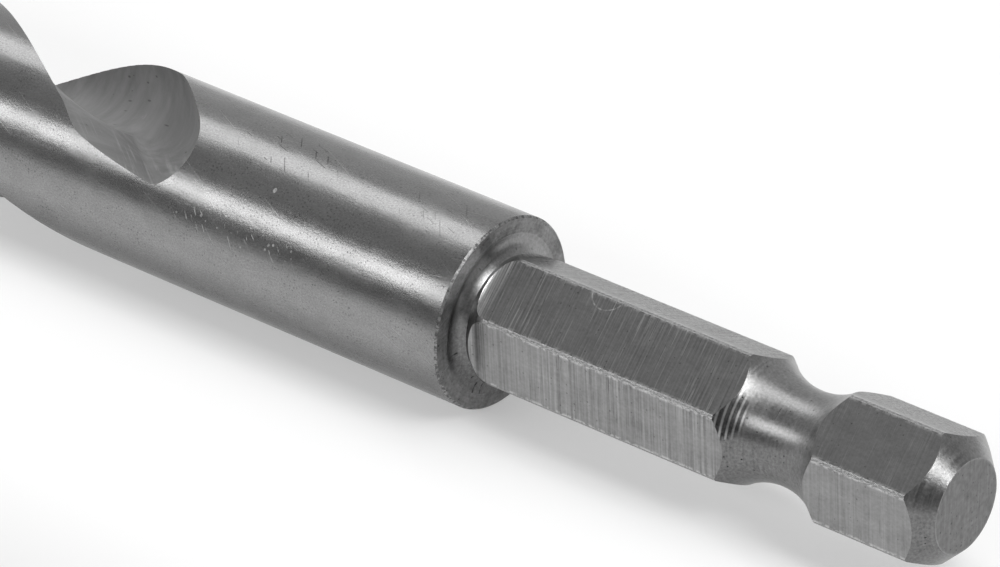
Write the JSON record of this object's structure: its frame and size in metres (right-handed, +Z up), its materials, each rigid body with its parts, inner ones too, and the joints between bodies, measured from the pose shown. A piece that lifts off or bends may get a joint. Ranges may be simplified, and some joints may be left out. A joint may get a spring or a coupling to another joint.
{
  "type": "wood drill bit",
  "caption": "Wood drill bit: straight round body with spiral flutes, a brad point, and a hex shank with a ball groove for quick-change chucks.",
  "frame": {"origin": "on the surface the bit lies on, under the middle of its length", "axes": "+X along the bit's axis towards the end of the shank, -X towards the point, +Z up"},
  "size_m": [0.133, 0.01, 0.01],
  "materials": {
    "steel": "bare ground and turned steel with fine machining marks"
  },
  "bodies": {
    "root": {"drill_bit": "steel"}
  },
  "joints": []
}
